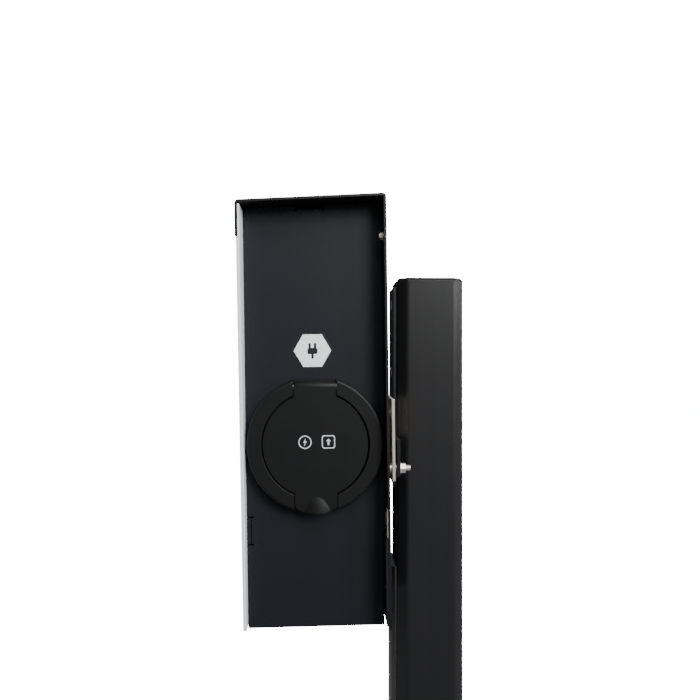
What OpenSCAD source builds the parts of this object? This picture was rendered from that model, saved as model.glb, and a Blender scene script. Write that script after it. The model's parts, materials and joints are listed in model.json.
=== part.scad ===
// EV charging post: a slim wall-box with a side socket, hung on a square profile post.
// +Z is up, the origin is the middle of the base plate's underside.
// The socket side of the box faces -Y, its white front faces -X, the post stands behind it.

/* [Post] */
// Height of the post with its cap
post_h = 1100; // [900:10:1400]
// Outer size of the square profile
post_w = 60; // [58:0.5:64]
// Chamfer at the corners of the profile
post_chamfer = 8.5; // [7:0.5:10]
// Wall of the profile
post_wall = 2.5; // [2:0.25:3]
// Width of the open cable slot in the side that faces the box
slot_w = 30; // [26:1:32]
// Thickness of the post cap
cap_t = 3; // [2.5:0.5:5]

/* [Base] */
// Side of the square base plate
base_w = 200; // [180:5:260]
// Thickness of the base plate
base_t = 8; // [6:1:12]
// Spacing of the four anchor holes
base_pitch = 150; // [140:5:200]
// Diameter of the anchor holes
base_hole_d = 13; // [11:1:16]

/* [Box] */
// Width of the box along Y, over the edges of its hood
box_w = 210; // [200:5:230]
// Depth of the box, from its back to the lip of its hood
box_d = 117; // [114:1:122]
// Height of the box at its back
box_h = 338; // [332:1:346]
// Height of the box top over the post top
box_rise = 57; // [44:1:70]
// Lean of the box away from the post, in degrees
lean = 0.8; // [0.5:0.1:1.2]
// Slope of the roof down to the front, in degrees
roof_slope = 2.2; // [0:0.1:3]
// Height of the front lip of the hood
lip_h = 28; // [24:1:34]
// Thickness of the hood sheet
sheet = 2; // [1.5:0.5:2.5]
// Clear gap between the box and the post, at the foot of the box
box_gap = 12; // [11.5:0.1:13]
// How far the side panels sit inside the edges of the hood
recess = 21; // [21:1:24]

/* [Socket] */
// Height of the socket centre over the foot of the box
socket_z = 142.4; // [135:1:150]
// Diameter of the round socket flange
flange_d = 108; // [107:0.5:109]
// Diameter of the round part of the lid
lid_d = 82.6; // [82:0.2:83]
// Width of the hinge tab and the finger tab of the lid
tab_w = 33.2; // [32:0.2:34]

/* [Hidden] */
$fn = 48;
eps = 0.01;

// post
post_r = post_w / 2;
post_round = 5;
round_steps = 6;
spigot_r = post_r - post_wall - 0.3;
spigot_cut = 17.4;
spigot_wall = 3;
spigot_h = 130;
spigot_screw_z = [35, 100];
screw_port_r = 3.6;
cap_screw_r = 1.7;
cap_head_r = 3.4;
cap_bevel = 2;
cap_edge = 0.6;
profile_h = post_h - base_t - cap_t;
port_at = post_r - post_chamfer;
cover_proud = 4.4;
cover_w = 41;

// box, in its own frame: x = 0 is the back face, z = 0 the foot of the back
box_x = -post_r - box_gap;
box_z = post_h + box_rise - box_h;
half_w = box_w / 2;
bend_r = 3;
slope = tan(roof_slope);
panel_t = 1.5;
panel_y = half_w - recess;
front_t = 1.5;
front_in = box_d - sheet - front_t;
fascia_t = 1.2;
panel_foot = -4.6;
panel_top_gap = 0.6;
panel_screw_r = 47.5;
front_foot = -2.8;
front_narrow = 11;
lip_foot = box_h - box_d * slope - lip_h;
tray_z = 6;
tray_t = 2;
tray_back = -sheet - 0.15;
tray_flange_foot = 2.7;
tray_flange_h = 70.3;
tray_flange_t = 1.9;
front_screw_y = 60;
front_screw_x = -box_d + sheet + 10;
fold_z = tray_z - front_t;
vent_x = [-90, -58, -26];
lens_z = 261;
lens_half = [33, 3];
roof_notch = [-2.7, 22.8, 3.4];
relief = 1.2;
clip_z = [tray_flange_h + 0.6, 92.8];
clip_t = 0.6;
tongue_z = [78, 86];

// hanger between the box and the post; heights here are over the foot of the box
bracket_t = 3;
bracket_w = 40;
bracket_foot = 94;
bracket_top = 273;
ear_w = 104;
ear_h = 32;
ear_foot = 108;
stud_r = 2.5;
stud_hole_r = 2.6;
studs = [[-45, 114], [45, 114], [-9.5, 158], [9.5, 158]];
clamp_z = [bracket_foot + 7, 196, 258];
clamp_r = 3;
clamp_head_r = 5;
clamp_head_t = 2;
clamp_spans = [[bracket_foot + 1, 128], [186, 268]];
clamp_half = port_at - 4;
plate_back = 6.9;
plate_t = 2.5;
hanger_foot = 104;
hanger_top = 174;
nut_gap = 0.08;
buffer_w = 20;
buffer_foot = 10;
buffer_top = 31;
buffer_z = (buffer_foot + buffer_top) / 2;
buffer_y = 11;
rivet_r = 1.6;
grommet_z = 66;
grommet_r = 14;
cover_top = box_z + buffer_z;
hood_screw_y = 96;
hood_screw_z = [30, 306];
hood_screw_r = 1.95;
hood_head_r = 3.4;
hood_head_t = 1.4;

// socket, in its own frame: z = 0 is the face of the side panel, +z points out
socket_x = -57.5;
gasket_t = 1;
flange_base = 5;
flange_top = 11;
ring_in = lid_d / 2 + 1.2;
flange_flat = 51.5;
lid_back = 5.6;
hinge_y = 45.8;
barrel_r = 3.9;
hinge_z = flange_top - barrel_r;
pin_r = 2;
wire_r = 0.4;
coil_r = 2.5;
coil_pitch = 1.7;
cup_r = 33;
clamp_ring_r = 41;
carrier_r = 20;
power_r = 3.9;
pilot_r = 2.5;
cup_back = -58;
cavity_r = 29;
cavity_flat = 23;
cavity_floor = -34;
island_r = 22.8;
island_flat = 16.5;
island_face = -5;
lock_z = -14;
lock_r = 3;
lock_travel = 5.5;

// inside the box
plate_x = -14;
rail_front = plate_x - 7.5;
rail_z = 262;
low_rail_z = 32;
plate_corner_y = 70;
plate_corner_z = [30, 300];
board_y = [10, 70];
board_z = [96, 196];
module_w = 18;
breaker_y = -78;
module_h = 84;
module_front = -70;
nose_front = -82;
lever_x = -77;
lever_r = 6;

// Colours
black = [0.09, 0.09, 0.10];
graphite = [0.20, 0.21, 0.24];
white = [0.93, 0.94, 0.95];
zinc = [0.72, 0.70, 0.66];

// ---------- shared shapes ----------

function arc(centre, r, a0, a1, n = 8) =
    [for (i = [0:n]) centre + r * [cos(a0 + (a1 - a0) * i / n), sin(a0 + (a1 - a0) * i / n)]];

function roof_in(x) = box_h + x * slope - sheet / cos(roof_slope);

module box_frame() {
    translate([box_x, 0, box_z]) rotate([0, -lean, 0]) children();
}

module socket_frame() {
    box_frame() translate([socket_x, -panel_y, socket_z]) rotate([90, 0, 0]) children();
}

module mirrored_y() {
    children();
    mirror([0, 1, 0]) children();
}

// A box given by its two corners
module slab(low, high) {
    translate(low) cube(high - low);
}

module along_x(x, y, z, length, r, sides = 48) {
    translate([x, y, z]) rotate([0, 90, 0]) cylinder(h = length, r = r, $fn = sides);
}

module octagon(half, cut) {
    polygon([
        [-half + cut, -half], [half - cut, -half], [half, -half + cut], [half, half - cut],
        [half - cut, half], [-half + cut, half], [-half, half - cut], [-half, -half + cut]
    ]);
}

module rounded_square(side, r) {
    square([side - 2 * r, side], center = true);
    square([side, side - 2 * r], center = true);
    for (x = [-1, 1], y = [-1, 1])
        translate([x, y] * (side / 2 - r)) circle(r);
}

// ---------- post ----------

module base_plate() {
    color("dimgray")
    difference() {
        linear_extrude(base_t) rounded_square(base_w, 12);
        for (x = [-1, 1], y = [-1, 1])
            translate([x * base_pitch / 2, y * base_pitch / 2, -1])
                cylinder(h = base_t + 2, d = base_hole_d);
        translate([0, 0, -1]) cylinder(h = base_t + 2, r = 17);
    }
}

module base_spigot() {
    color("gray")
    translate([0, 0, base_t])
    difference() {
        linear_extrude(spigot_h)
            difference() {
                octagon(spigot_r, spigot_cut);
                octagon(spigot_r - spigot_wall, spigot_cut - (2 - sqrt(2)) * spigot_wall);
            }
        for (z = spigot_screw_z)
            translate([0, post_w, z]) rotate([90, 0, 0]) cylinder(h = 2 * post_w, r = 3.4);
    }
}

// Button-head screws through the profile into the spigot, two on each side
module spigot_screws() {
    reach = post_r - spigot_r + spigot_wall;
    color("silver")
    mirrored_y()
    for (z = spigot_screw_z)
        translate([0, -post_r, base_t + z]) rotate([90, 0, 0]) {
            rotate_extrude() polygon(concat([[0, 0]], arc([0, 0], 6, 0, 90)));
            translate([0, 0, -reach]) cylinder(h = reach + eps, r = 3.4);
        }
}

// How far side i of the chamfered square lies from the middle; even sides are the flat faces
function side_reach(i) = i % 2 == 0 ? post_r : (2 * post_r - post_chamfer) / sqrt(2);

// Where the centre of a rounded corner lies along side i
function corner_shift(i) =
    (side_reach(i + 1) - post_round - (side_reach(i) - post_round) * cos(45)) / sin(45);

// Outline of the extruded profile: chamfered square with its eight corners rounded
module profile_outline() {
    polygon([
        for (i = [0:7], step = [0:round_steps])
            [(side_reach(i) - post_round) * cos(45 * i) - corner_shift(i) * sin(45 * i)
                 + post_round * cos(45 * (i + step / round_steps)),
             (side_reach(i) - post_round) * sin(45 * i) + corner_shift(i) * cos(45 * i)
                 + post_round * sin(45 * (i + step / round_steps))]
    ]);
}

module post_profile() {
    color(black)
    translate([0, 0, base_t])
    difference() {
        linear_extrude(profile_h)
            difference() {
                profile_outline();
                difference() {
                    octagon(post_r - post_wall, post_chamfer);
                    for (x = [-1, 1], y = [-1, 1])
                        translate([x, y] * port_at) circle(screw_port_r);
                }
                for (x = [-1, 1], y = [-1, 1])
                    translate([x, y] * port_at) circle(cap_screw_r);
                translate([-post_r - 1, -slot_w / 2]) square([post_wall + 2, slot_w]);
            }
        for (z = spigot_screw_z)
            translate([0, post_w, z]) rotate([90, 0, 0]) cylinder(h = 2 * post_w, r = 3.5);
    }
}

// Snap-in cover that closes the cable slot below the box
module channel_cover() {
    outer = cover_w / 2;
    leg = slot_w / 2 - 0.2;
    color([0.3, 0.3, 0.31])
    translate([-post_r, 0, base_t + 4])
    linear_extrude(cover_top - base_t - 4) {
        polygon([
            [0, -outer], [0, outer], [-1.4, outer], [-cover_proud, outer - 5],
            [-cover_proud, 5 - outer], [-1.4, -outer]
        ]);
        for (s = [-1, 1])
            translate([-eps, s * (leg - 0.75) - 0.75]) square([post_wall + 3, 1.5]);
    }
}

module post_cap() {
    top_cut = post_chamfer - (2 - sqrt(2)) * cap_bevel;
    color(black)
    difference() {
        union() {
            translate([0, 0, post_h - cap_t]) linear_extrude(cap_edge) octagon(post_r, post_chamfer);
            hull() {
                translate([0, 0, post_h - cap_t + cap_edge - 0.1])
                    linear_extrude(0.1) octagon(post_r, post_chamfer);
                translate([0, 0, post_h - 0.1]) linear_extrude(0.1) octagon(post_r - cap_bevel, top_cut);
            }
        }
        for (x = [-1, 1], y = [-1, 1])
            translate([x * port_at, y * port_at, post_h - cap_t - 1]) {
                cylinder(h = cap_t + 2, r = 2.1, $fn = 16);
                translate([0, 0, cap_t - 0.7]) cylinder(h = 2, r = cap_head_r + 0.2, $fn = 24);
            }
    }
}

module cap_screws() {
    color("dimgray")
    for (x = [-1, 1], y = [-1, 1])
        translate([x * port_at, y * port_at, post_h]) {
            translate([0, 0, -1.7])
                difference() {
                    cylinder(h = 1.6, r = cap_head_r, $fn = 24);
                    translate([0, 0, 0.6]) cylinder(h = 2, r = 1.6, $fn = 6);
                }
            translate([0, 0, -16]) cylinder(h = 14.4, r = cap_screw_r, $fn = 24);
        }
}

// ---------- hanger between post and box ----------

module post_bracket() {
    x0 = -post_r - bracket_t;
    color(black)
    translate([0, 0, box_z])
    difference() {
        union() {
            slab([x0, -bracket_w / 2, bracket_foot], [-post_r, bracket_w / 2, bracket_top]);
            slab([x0, -ear_w / 2, ear_foot], [-post_r, ear_w / 2, ear_foot + ear_h]);
        }
        for (p = studs)
            along_x(x0 - 1, p[0], p[1], bracket_t + 2, 3.2);
        for (z = clamp_z) {
            along_x(x0 - 1, 0, z, bracket_t + 2, clamp_r + 0.2);
            along_x(x0 - 1, 0, z, clamp_head_t + 1, clamp_head_r + 0.2);
        }
    }
}

// Two bars behind the slot that the bracket screws pull against
module clamp_bar() {
    back = -post_r + post_wall;
    color(zinc)
    translate([0, 0, box_z])
    difference() {
        for (span = clamp_spans)
            slab([back, -clamp_half, span[0]], [back + 6, clamp_half, span[1]]);
        for (z = clamp_z)
            along_x(back - 1, 0, z, 12, clamp_r, 32);
    }
}

module clamp_screws() {
    color("silver")
    translate([0, 0, box_z])
    for (z = clamp_z) {
        along_x(-post_r - bracket_t, 0, z, clamp_head_t, clamp_head_r);
        along_x(-post_r - bracket_t - eps, 0, z, 14, clamp_r, 32);
    }
}

// Distance from the back of the box to the post, square to the box, at height z
function gap_at(z) = box_gap + z * tan(lean);

// Plated plate that stiffens the back of the box where it hangs
module hanger_plate() {
    color(zinc)
    box_frame()
    difference() {
        slab([plate_back, -ear_w / 2, hanger_foot], [plate_back + plate_t, ear_w / 2, hanger_top]);
        for (p = studs)
            along_x(plate_back - 1, p[0], p[1], plate_t + 2, stud_hole_r, 32);
    }
}

// Studs with their heads inside the box and their threaded ends past the nuts
module hanger_studs() {
    color(zinc)
    box_frame()
    for (p = studs) {
        along_x(-sheet - 1.8, p[0], p[1], 1.8, 5.5);
        along_x(-sheet - eps, p[0], p[1], sheet + gap_at(p[1]) + 9.2, stud_r, 32);
    }
}

module spacer_ring(x, y, z, length) {
    translate([x, y, z]) rotate([0, 90, 0])
        difference() {
            cylinder(h = length, r = 4.4);
            translate([0, 0, -1]) cylinder(h = length + 2, r = stud_hole_r, $fn = 32);
        }
}

// Sleeves that set the gap, on both sides of the hanger plate
module hanger_spacers() {
    color(zinc)
    box_frame()
    for (p = studs) {
        reach = gap_at(p[1]) - bracket_t - nut_gap;
        spacer_ring(0, p[0], p[1], plate_back);
        spacer_ring(plate_back + plate_t, p[0], p[1], reach - plate_back - plate_t);
    }
}

module hanger_nuts() {
    color(zinc)
    box_frame()
    for (p = studs)
        translate([gap_at(p[1]) + nut_gap, p[0], p[1]]) rotate([0, 90, 0])
            difference() {
                union() {
                    cylinder(h = 0.8, r = 5);
                    translate([0, 0, 0.8]) rotate(30) cylinder(h = 4.2, r = 4.62, $fn = 6);
                }
                translate([0, 0, -1]) cylinder(h = 8, r = stud_r, $fn = 32);
            }
}

// Rubber stops that rest the foot of the box on the slot cover of the post
module rest_buffers() {
    reach = gap_at(buffer_foot) - cover_proud;
    color([0.05, 0.05, 0.05])
    box_frame()
    for (y = [-buffer_y, buffer_y])
        difference() {
            slab([0, y - buffer_w / 2, buffer_foot], [reach, y + buffer_w / 2, buffer_top]);
            along_x(-1, y, buffer_z, 4, rivet_r, 24);
        }
}

// ---------- box shell ----------

// Bent hood in one sheet: back, sloping roof, front lip
module hood_profile() {
    up = 90 + roof_slope;
    back_bend = [-bend_r, box_h - bend_r * slope - bend_r / cos(roof_slope)];
    front_bend = [-box_d + bend_r, box_h + (bend_r - box_d) * slope - bend_r / cos(roof_slope)];
    in_r = bend_r - sheet;
    polygon(concat(
        [[0, 0]], arc(back_bend, bend_r, 0, up), arc(front_bend, bend_r, up, 180),
        [[-box_d, lip_foot], [-box_d + sheet, lip_foot]],
        arc(front_bend, in_r, 180, up), arc(back_bend, in_r, up, 0), [[-sheet, 0]]
    ));
}

module hood_shell() {
    color(black)
    box_frame()
    difference() {
        translate([0, half_w, 0]) rotate([90, 0, 0]) linear_extrude(box_w) hood_profile();
        for (p = studs)
            along_x(-sheet - 1, p[0], p[1], sheet + 2, stud_r + 0.05, 32);
        along_x(-sheet - 1, 0, grommet_z, sheet + 2, grommet_r);
        for (y = [-buffer_y, buffer_y])
            along_x(-sheet - 1, y, buffer_z, sheet + 2, rivet_r, 24);
        for (y = [-hood_screw_y, hood_screw_y], z = hood_screw_z) {
            along_x(-sheet - 1, y, z, sheet + 2, 2, 24);
            translate([-hood_head_t - 0.1, y, z]) rotate([0, 90, 0])
                cylinder(h = hood_head_t + 0.2, r1 = hood_screw_r + 0.06, r2 = hood_head_r + 0.15, $fn = 32);
        }
    }
}

// Countersunk screws through the edge of the back; their ends show inside the overhang
module hood_screws() {
    color(zinc)
    box_frame()
    for (y = [-hood_screw_y, hood_screw_y]) {
        for (z = hood_screw_z)
            translate([-hood_head_t, y, z]) rotate([0, 90, 0])
                cylinder(h = hood_head_t, r1 = hood_screw_r, r2 = hood_head_r, $fn = 32);
        along_x(-sheet - 2, y, hood_screw_z[0], sheet + 1, hood_screw_r, 24);
        along_x(-sheet - 3.4, y, hood_screw_z[1], sheet + 2.4, hood_screw_r, 24);
        translate([-sheet - 2.6, y, hood_screw_z[1]]) rotate([0, 90, 0])
            difference() {
                cylinder(h = 2.6, r = 3.2, $fn = 6);
                translate([0, 0, -1]) cylinder(h = 5, r = 1.9, $fn = 24);
            }
    }
}

// Keeps what lies inside the outline of the white front, which narrows towards its foot
module front_outline() {
    intersection() {
        children();
        translate([-box_d - 1, 0, 0]) rotate([90, 0, 90]) linear_extrude(30)
            polygon([
                [front_narrow - half_w, front_foot], [half_w - front_narrow, front_foot],
                [half_w, lip_foot], [half_w, box_h], [-half_w, box_h], [-half_w, lip_foot]
            ]);
    }
}

// The slot for the status lens in the white front
module lens_slot(x0, depth) {
    slab([x0, -lens_half[0], lens_z - lens_half[1]], [x0 + depth, lens_half[0], lens_z + lens_half[1]]);
}

module front_sheet() {
    x0 = -box_d + sheet;
    top = roof_in(x0) - 1.2;
    fold_y = panel_y - panel_t - 2;
    color(white)
    box_frame()
    difference() {
        union() {
            front_outline() slab([x0, -half_w, front_foot], [x0 + front_t, half_w, top]);
            slab([x0 + eps, -fold_y, fold_z], [x0 + 16, fold_y, fold_z + front_t]);
        }
        lens_slot(x0 - 1, front_t + 2);
        for (y = [-front_screw_y, front_screw_y])
            translate([front_screw_x, y, fold_z - 2]) cylinder(h = 6, r = 2.1, $fn = 24);
    }
}

module front_fascia() {
    x0 = -box_d + sheet - fascia_t;
    color(white)
    box_frame()
    difference() {
        front_outline() slab([x0, -half_w, front_foot], [x0 + fascia_t, half_w, lip_foot - 0.4]);
        lens_slot(x0 - 1, fascia_t + 2);
    }
}

module status_lens() {
    x0 = -box_d + sheet - fascia_t;
    back = x0 + 5.2;
    half = lens_half - [0.1, 0.1];
    color([0.7, 0.9, 0.85])
    box_frame() {
        slab([x0 + 0.2, -half[0], lens_z - half[1]], [back, half[0], lens_z + half[1]]);
        slab([x0 + fascia_t + front_t, -36, lens_z - 6], [back, 36, lens_z + 6]);
    }
}

module status_board() {
    x0 = -front_in + 2.7;
    color("darkgreen")
    box_frame() {
        slab([x0 + 2, -38, lens_z - 15], [x0 + 3.6, 38, lens_z + 15]);
        for (y = [-28:8:28])
            slab([x0 + 0.4, y - 1.6, lens_z - 1.6], [x0 + 2, y + 1.6, lens_z + 1.6]);
    }
}

// Card reader aerial board, held behind the front sheet
module reader_board() {
    x0 = -front_in;
    color("darkgreen")
    box_frame() {
        slab([x0 + 3, -30, 176], [x0 + 4.6, 30, 228]);
        for (y = [-26, 26], z = [180, 224])
            along_x(x0, y, z, 3, 2.5, 24);
        slab([x0 + 4.6, -12, 192], [x0 + 7, 12, 212]);
    }
}

// ---------- side panels ----------

// Face of a side panel, x along the depth of the box and y up, with its relief cuts
module panel_face() {
    left = -front_in + 0.25;
    right = -sheet - 0.35;
    step = tray_back - tray_flange_t - 0.25;
    notch_x = socket_x + roof_notch[0];
    notch_half = roof_notch[1] / 2;
    front_cut_z = 61.4;
    front_cut_h = 22;
    difference() {
        polygon([
            [left, panel_foot], [step, panel_foot], [step, tray_flange_h + 0.8],
            [right, tray_flange_h + 0.8], [right, roof_in(right) - panel_top_gap],
            [left, roof_in(left) - panel_top_gap]
        ]);
        translate([notch_x - notch_half, roof_in(notch_x) - roof_notch[2]]) square([roof_notch[1], 8]);
        for (s = [-1, 1])
            translate([notch_x + s * (notch_half - relief / 2) - relief / 2, roof_in(notch_x) - 5])
                square([relief, 8]);
        for (z = [front_cut_z, front_cut_z + front_cut_h])
            translate([left - 1, z]) square([6.5, relief]);
        translate([left + 3, front_cut_z + 0.5]) square([0.6, front_cut_h]);
        translate([right - clip_t - 0.2, tongue_z[0] - 0.5]) square([4, tongue_z[1] - tongue_z[0] + 1]);
    }
}

module side_panel(bore) {
    difference() {
        union() {
            rotate([90, 0, 0]) linear_extrude(panel_t) panel_face();
            slab([-front_in + 0.25, -eps, 100], [-front_in + 1.75, 14, 310]);
            slab([-sheet - 1.85, -eps, 110], [-sheet - 0.35, 14, 290]);
        }
        if (bore) translate([socket_x, 5, socket_z]) rotate([90, 0, 0]) {
            cylinder(h = 20, r = cup_r + 2, $fn = 96);
            for (a = [45:90:315])
                rotate(a) translate([panel_screw_r, 0, 0]) cylinder(h = 20, r = 2.1, $fn = 24);
        }
    }
}

module socket_side_panel() {
    color(graphite)
    box_frame() translate([0, -panel_y + panel_t, 0]) side_panel(true);
}

module plain_side_panel() {
    color(graphite)
    box_frame() mirror([0, 1, 0]) translate([0, -panel_y + panel_t, 0]) side_panel(false);
}

// Spring clips on the inner face of the back, with a tongue through the edge of each side panel
module panel_clips() {
    inner = -sheet - clip_t;
    color(zinc)
    box_frame()
    mirrored_y() {
        slab([inner, 0.5 - half_w, clip_z[0]], [-sheet, 10 - half_w, clip_z[1]]);
        slab([inner, 9 - half_w, tongue_z[0]], [-sheet, -panel_y + 12, tongue_z[1]]);
        slab([inner - 3, -panel_y + 11, tongue_z[0]], [inner + eps, -panel_y + 12, tongue_z[1]]);
    }
}

module bottom_tray() {
    half = panel_y - panel_t - 0.3;
    color(graphite)
    box_frame()
    difference() {
        union() {
            slab([-front_in + 2, -half, tray_z], [tray_back, half, tray_z + tray_t]);
            slab([tray_back - tray_flange_t, -half_w, tray_flange_foot], [tray_back, half_w, tray_flange_h]);
        }
        for (x = vent_x)
            translate([x, 0, tray_z - 2]) cylinder(h = 6, r = 2.5, $fn = 24);
        for (y = [-front_screw_y, front_screw_y])
            translate([front_screw_x, y, tray_z - 2]) cylinder(h = 6, r = 1.7, $fn = 24);
        along_x(tray_back - 3, 0, grommet_z, 5, grommet_r + 3.5);
        for (y = [-hood_screw_y, hood_screw_y])
            along_x(tray_back - 3, y, hood_screw_z[0], 5, 2, 24);
        for (y = [-plate_corner_y, plate_corner_y])
            along_x(tray_back - 3, y, plate_corner_z[0], 5, 5.5, 32);
        for (y = [-buffer_y, buffer_y])
            along_x(tray_back - 3, y, buffer_z, 5, 4, 32);
    }
}

module tray_screws() {
    color("silver")
    box_frame()
    for (y = [-front_screw_y, front_screw_y])
        translate([front_screw_x, y, 0]) {
            translate([0, 0, fold_z - 1.8]) cylinder(h = 1.8, r = 3.6, $fn = 32);
            translate([0, 0, fold_z - eps]) cylinder(h = 9, r = 1.7, $fn = 24);
        }
}

// Grommet where the supply cable enters the back of the box
module cable_grommet() {
    color([0.06, 0.06, 0.06])
    box_frame()
    translate([-sheet, 0, grommet_z]) rotate([0, 90, 0])
    difference() {
        union() {
            translate([0, 0, -1]) cylinder(h = 1, r = grommet_r + 2.5);
            cylinder(h = sheet, r = grommet_r);
            translate([0, 0, sheet]) cylinder(h = 2, r = grommet_r + 2.5);
        }
        translate([0, 0, -4]) cylinder(h = 12, r = 9);
    }
}

// ---------- electrical parts ----------

module mounting_plate() {
    color("lightgray")
    box_frame()
    difference() {
        slab([plate_x, -76, 14], [plate_x + 2, 76, 316]);
        for (y = [-plate_corner_y, plate_corner_y], z = plate_corner_z)
            along_x(plate_x - 1, y, z, 4, 2.1, 24);
        along_x(plate_x - 1, 0, grommet_z, 4, grommet_r + 2);
        for (y = board_y, z = board_z)
            along_x(plate_x - 1, y, z, 4, 1.6, 24);
    }
}

// Pillars between the back of the hood and the mounting plate, with their screws
module plate_standoffs() {
    color(zinc)
    box_frame()
    for (y = [-plate_corner_y, plate_corner_y], z = plate_corner_z) {
        along_x(plate_x + 2, y, z, -plate_x - 2 - sheet, 5, 32);
        along_x(plate_x - 2, y, z, 2, 3.6, 32);
        along_x(plate_x - eps, y, z, 3, 2.1, 24);
    }
}

module hat_rail(length) {
    rotate([90, 0, 0]) linear_extrude(length, center = true)
        polygon([
            [-7.5, -17.5], [-6.5, -17.5], [-6.5, -12.5], [0, -12.5], [0, 12.5],
            [-6.5, 12.5], [-6.5, 17.5], [-7.5, 17.5], [-7.5, 11.5], [-1, 11.5],
            [-1, -11.5], [-7.5, -11.5]
        ]);
}

module din_rails() {
    color(zinc)
    box_frame() {
        translate([plate_x, 0, rail_z]) hat_rail(152);
        translate([plate_x, 0, low_rail_z]) hat_rail(90);
    }
}

// Stepped housing of a rail device, width in modules
module rail_device(modules) {
    w = modules * module_w - 0.3;
    slab([module_front, 0.15, rail_z - module_h / 2], [rail_front, w, rail_z + module_h / 2]);
    slab([nose_front, 0.15, rail_z - 22.5], [module_front + eps, w, rail_z + 22.5]);
}

module breaker_body() {
    slot_y = breaker_y + module_w / 2;
    color("whitesmoke")
    box_frame()
    difference() {
        translate([0, breaker_y, 0]) rail_device(2);
        slab([nose_front - 1, slot_y - 5.3, rail_z - 9], [lever_x + lever_r + 1, slot_y + 5.3, rail_z + 9]);
        translate([lever_x, slot_y + 5.3, rail_z]) rotate([90, 0, 0]) cylinder(h = 10.6, r = lever_r + 1);
        translate([lever_x, slot_y + 8, rail_z]) rotate([90, 0, 0]) cylinder(h = 16, r = 1.5, $fn = 32);
        slab([nose_front - 1, slot_y + 14.8, rail_z - 3.2], [nose_front + 6, slot_y + 21.2, rail_z + 3.2]);
    }
}

module breaker_lever() {
    slot_y = breaker_y + module_w / 2;
    color("navy")
    box_frame()
    translate([lever_x, slot_y, rail_z]) {
        rotate([90, 0, 0]) cylinder(h = 10, r = lever_r, center = true);
        rotate([90, 0, 0]) cylinder(h = 15.6, r = 1.45, center = true, $fn = 32);
        rotate([0, 25, 0]) slab([-15, -5, -1.8], [-4, 5, 1.8]);
    }
}

module test_button() {
    slot_y = breaker_y + module_w / 2;
    color("gold")
    box_frame()
    slab([nose_front - 1.8, slot_y + 15, rail_z - 3], [nose_front + 3, slot_y + 21, rail_z + 3]);
}

module contactor() {
    color("gainsboro")
    box_frame()
    difference() {
        translate([0, breaker_y + 38, 0]) rail_device(3);
        for (y = [breaker_y + 47:12:breaker_y + 85], z = [rail_z - 32, rail_z + 32])
            along_x(module_front - 1, y, z, 5, 2.6, 24);
    }
}

module energy_meter() {
    y0 = breaker_y + 94;
    color("gainsboro")
    box_frame()
    difference() {
        translate([0, y0, 0]) rail_device(2);
        slab([nose_front - 1, y0 + 6, rail_z + 2], [nose_front + 0.8, y0 + 30, rail_z + 14]);
        for (y = [y0 + 8, y0 + 28], z = [rail_z - 32, rail_z + 32])
            along_x(module_front - 1, y, z, 5, 2.6, 24);
    }
}

module power_supply() {
    y0 = breaker_y + 131.5;
    color("dimgray")
    box_frame()
    difference() {
        translate([0, y0, 0]) rail_device(1);
        along_x(nose_front - 1, y0 + 9, rail_z + 12, 2, 1.5, 24);
    }
}

// Five-way supply terminal on the lower rail
module supply_terminals() {
    color("lightslategray")
    box_frame()
    for (i = [-2:2])
        difference() {
            slab([-58, i * 12 - 5.8, low_rail_z - 21], [rail_front, i * 12 + 5.8, low_rail_z + 21]);
            for (z = [low_rail_z - 14, low_rail_z + 14])
                along_x(-59, i * 12, z, 6, 3, 24);
        }
}

module earth_terminal() {
    color("goldenrod")
    box_frame()
    difference() {
        slab([-30, 48, 42], [plate_x, 74, 52]);
        for (y = [53, 61, 69])
            along_x(-31, y, 47, 6, 2, 24);
    }
}

module control_board() {
    color("darkgreen")
    box_frame() {
        difference() {
            slab([plate_x - 11.6, 4, 90], [plate_x - 10, 76, 202]);
            for (y = board_y, z = board_z)
                along_x(plate_x - 13, y, z, 5, 1.6, 24);
        }
        for (z = [108, 128, 148])
            slab([plate_x - 27, 14, z], [plate_x - 11.6, 42, z + 15]);
        slab([plate_x - 34, 48, 104], [plate_x - 11.6, 72, 136]);
        slab([plate_x - 22, 10, 176], [plate_x - 11.6, 60, 188]);
        slab([plate_x - 14, 46, 146], [plate_x - 11.6, 66, 166]);
    }
}

module board_standoffs() {
    color("ivory")
    box_frame()
    for (y = board_y, z = board_z) {
        along_x(plate_x - 10, y, z, 10, 3.5, 24);
        along_x(plate_x - 13.6, y, z, 2, 3, 24);
        along_x(plate_x - 11.7, y, z, 13, 1.55, 24);
    }
}

// Cubic curve through four control points
function bezier(p, t) =
    pow(1 - t, 3) * p[0] + 3 * t * pow(1 - t, 2) * p[1] + 3 * t * t * (1 - t) * p[2] + pow(t, 3) * p[3];

function slope_at(p, t) =
    3 * pow(1 - t, 2) * (p[1] - p[0]) + 6 * t * (1 - t) * (p[2] - p[1]) + 3 * t * t * (p[3] - p[2]);

// Tube along a cubic curve, its rings square to the curve
module wire(p, r, rings = 20, sides = 8) {
    function ring(t) = let (
        d = slope_at(p, t) / norm(slope_at(p, t)),
        u = cross(d, [1, 0, 0]) / norm(cross(d, [1, 0, 0])),
        v = cross(d, u)
    ) [for (k = [0:sides - 1]) bezier(p, t) + r * (u * cos(k * 360 / sides) + v * sin(k * 360 / sides))];
    polyhedron(
        points = [for (i = [0:rings]) each ring(i / rings)],
        faces = concat(
            [[for (k = [0:sides - 1]) k]],
            [for (i = [0:rings - 1], k = [0:sides - 1]) let (a = i * sides, n = (k + 1) % sides)
                [a + k, a + sides + k, a + sides + n, a + n]],
            [[for (k = [sides - 1:-1:0]) rings * sides + k]]
        ),
        convexity = 4
    );
}

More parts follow.
